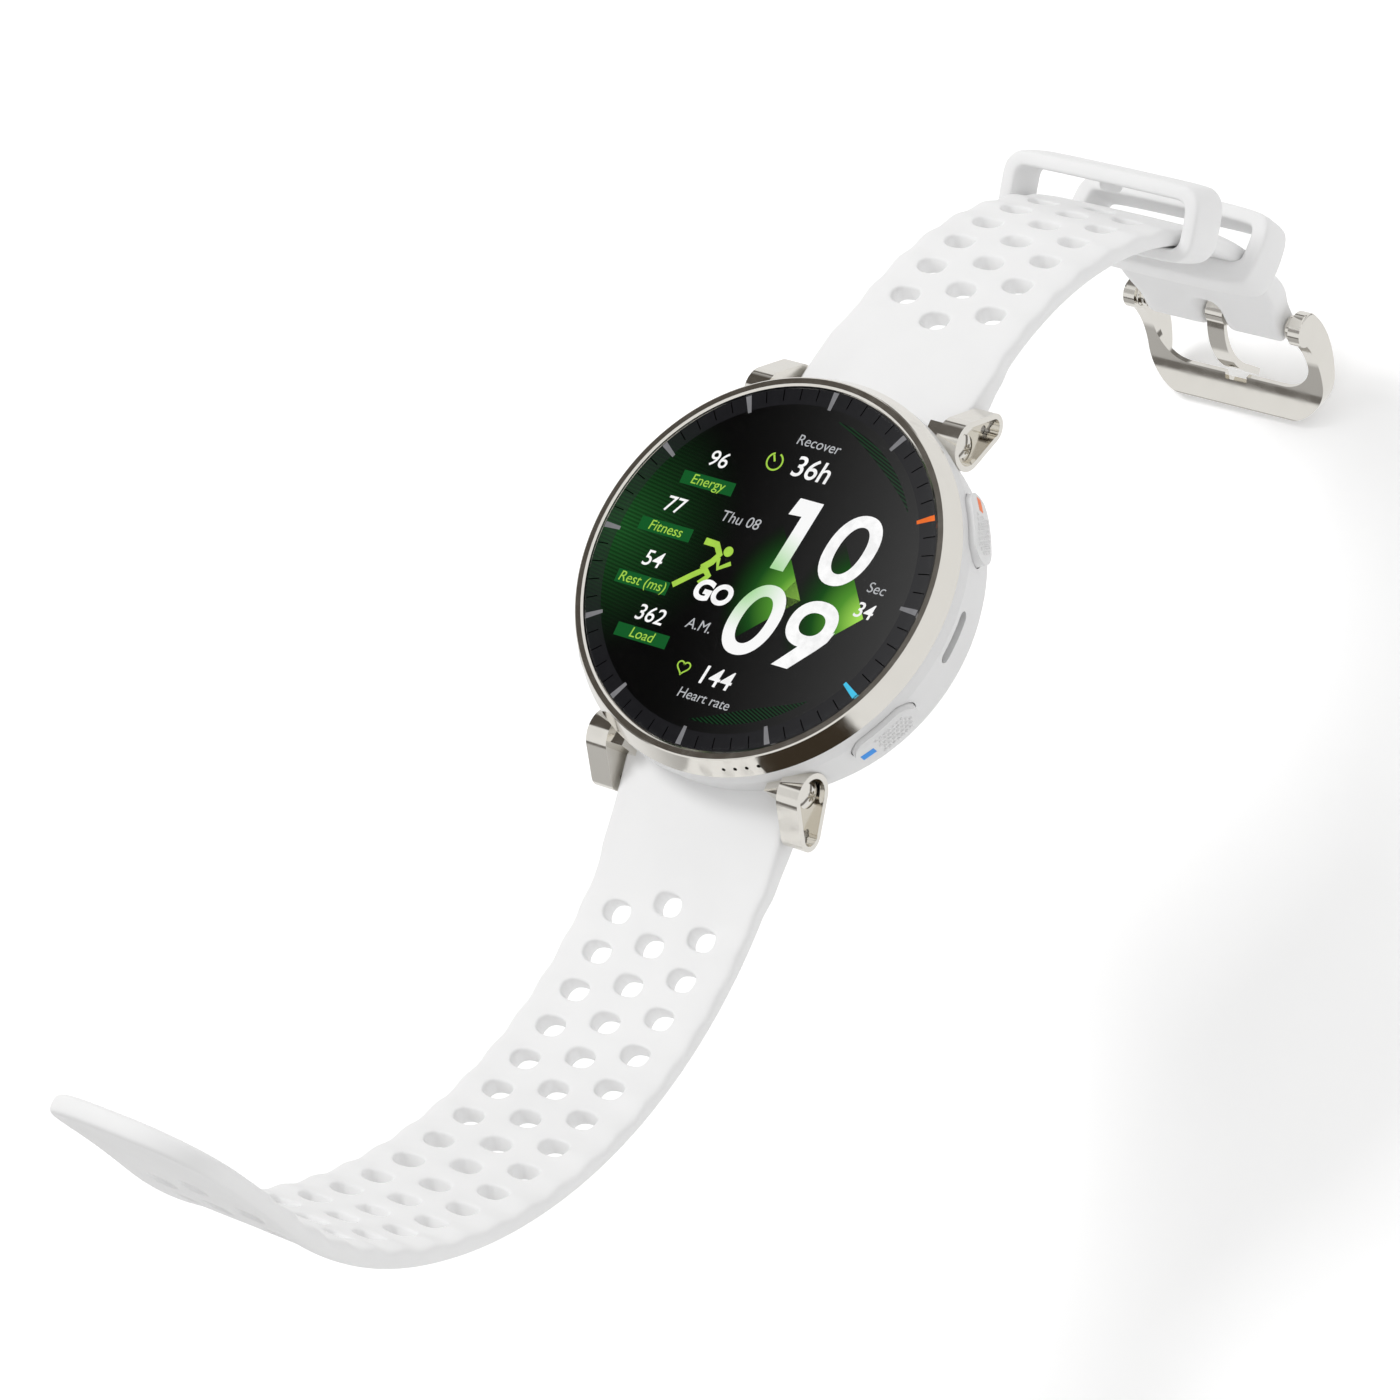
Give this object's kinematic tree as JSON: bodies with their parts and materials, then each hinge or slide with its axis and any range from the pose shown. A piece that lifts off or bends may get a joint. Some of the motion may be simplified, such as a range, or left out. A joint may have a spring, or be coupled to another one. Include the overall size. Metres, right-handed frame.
{
  "type": "golf gps watch",
  "caption": "Round sports watch with a metal bezel, four side buttons and a two-piece perforated silicone strap with a pin buckle and keepers.",
  "frame": {"origin": "centre of the case back's flat face", "axes": "+X towards 3 o'clock, +Y towards 12 o'clock, +Z out of the dial"},
  "size_m": [0.045, 0.1516, 0.1322],
  "materials": {
    "silicone_white": "matte moulded silicone",
    "case_white": "satin moulded polymer",
    "polished_steel": "polished, warm nickel tone",
    "glass": "clear, gloss",
    "display": "black display panel",
    "dark_plastic": "matt moulded plastic",
    "circuit": "solder-masked board",
    "steel_dark": "tinned steel cans",
    "battery_foil": "foil pouch",
    "seal_rubber": "soft seal",
    "led_clear": "small clear emitters",
    "sensor_black": "dark optical window",
    "mark_orange": "inlaid colour",
    "mark_blue": "inlaid colour"
  },
  "bodies": {
    "case": {"mid_case": "case_white", "bezel": "polished_steel", "cover_glass": "glass", "case_back": "case_white", "back_screws": "polished_steel", "charging_contacts": "polished_steel", "sensor_window": "sensor_black", "lug_upper_right": "polished_steel", "lug_upper_left": "polished_steel", "lug_lower_right": "polished_steel", "lug_lower_left": "polished_steel", "lug_screws": "polished_steel", "display_panel": "display", "inner_frame": "dark_plastic", "display_ribbon": "circuit", "antenna_ring": "dark_plastic", "main_board": "circuit", "board_chips": "steel_dark", "microphone": "steel_dark", "tactile_switches": "steel_dark", "battery": "battery_foil", "vibration_motor": "steel_dark", "speaker": "dark_plastic", "speaker_mesh": "dark_plastic", "back_gasket": "seal_rubber", "glass_seal": "seal_rubber", "sensor_board": "circuit", "sensor_leds": "led_clear"},
    "button_two_body": {"button_two": "case_white", "button_clip_two": "polished_steel", "button_mark_two": "mark_orange"},
    "button_four_body": {"button_four": "case_white", "button_clip_four": "polished_steel", "button_mark_four": "mark_blue"},
    "button_eight_body": {"button_eight": "case_white", "button_clip_eight": "polished_steel"},
    "button_ten_body": {"button_ten": "case_white", "button_clip_ten": "polished_steel"},
    "tail_strap": {"strap_tail_side": "silicone_white", "spring_bar_tail": "polished_steel", "release_spring_tail": "polished_steel"},
    "tail_release": {"release_pin_tail": "polished_steel"},
    "buckle_strap": {"strap_buckle_side": "silicone_white", "spring_bar_buckle": "polished_steel", "release_spring_buckle": "polished_steel", "fixed_keeper": "silicone_white"},
    "buckle_release": {"release_pin_buckle": "polished_steel"},
    "keeper": {"free_keeper": "silicone_white"},
    "buckle": {"buckle_frame": "polished_steel", "buckle_pin": "polished_steel"},
    "tongue": {"buckle_tongue": "polished_steel"}
  },
  "joints": [
    {"name": "button_two_press", "type": "slide", "parent": "case", "child": "button_two_body", "axis": [-0.8572, -0.515, 0], "range_m": [0, 0.00045], "stiffness_N_per_m": 800, "springref_m": -0.00025},
    {"name": "button_four_press", "type": "slide", "parent": "case", "child": "button_four_body", "axis": [-0.8572, 0.515, 0], "range_m": [0, 0.00045], "stiffness_N_per_m": 800, "springref_m": -0.00025},
    {"name": "button_eight_press", "type": "slide", "parent": "case", "child": "button_eight_body", "axis": [0.8572, 0.515, 0], "range_m": [0, 0.00045], "stiffness_N_per_m": 800, "springref_m": -0.00025},
    {"name": "button_ten_press", "type": "slide", "parent": "case", "child": "button_ten_body", "axis": [0.8572, -0.515, 0], "range_m": [0, 0.00045], "stiffness_N_per_m": 800, "springref_m": -0.00025},
    {"name": "tail_strap_pivot", "type": "hinge", "parent": "case", "child": "tail_strap", "pos_m": [0, -0.0233, 0.0019], "axis": [1, 0, 0], "range_deg": [-10, 45]},
    {"name": "buckle_strap_pivot", "type": "hinge", "parent": "case", "child": "buckle_strap", "pos_m": [0, 0.0233, 0.0019], "axis": [-1, 0, 0], "range_deg": [-10, 25]},
    {"name": "tail_quick_release", "type": "slide", "parent": "tail_strap", "child": "tail_release", "axis": [-1, 0, 0], "range_m": [0, 0.0012], "stiffness_N_per_m": 600, "springref_m": -0.0008},
    {"name": "buckle_quick_release", "type": "slide", "parent": "buckle_strap", "child": "buckle_release", "axis": [-1, 0, 0], "range_m": [0, 0.0012], "stiffness_N_per_m": 600, "springref_m": -0.0008},
    {"name": "free_keeper_slide", "type": "hinge", "parent": "buckle_strap", "child": "keeper", "pos_m": [0, 0.01994, -0.03974], "axis": [1, 0, 0], "range_deg": [-11.5, 30]},
    {"name": "buckle_pivot", "type": "hinge", "parent": "buckle_strap", "child": "buckle", "pos_m": [0, 0.06014, -0.05046], "axis": [1, 0, 0], "range_deg": [-60, 60]},
    {"name": "tongue_pivot", "type": "hinge", "parent": "buckle", "child": "tongue", "pos_m": [0, 0.06014, -0.05046], "axis": [1, 0, 0], "range_deg": [0, 80]}
  ]
}
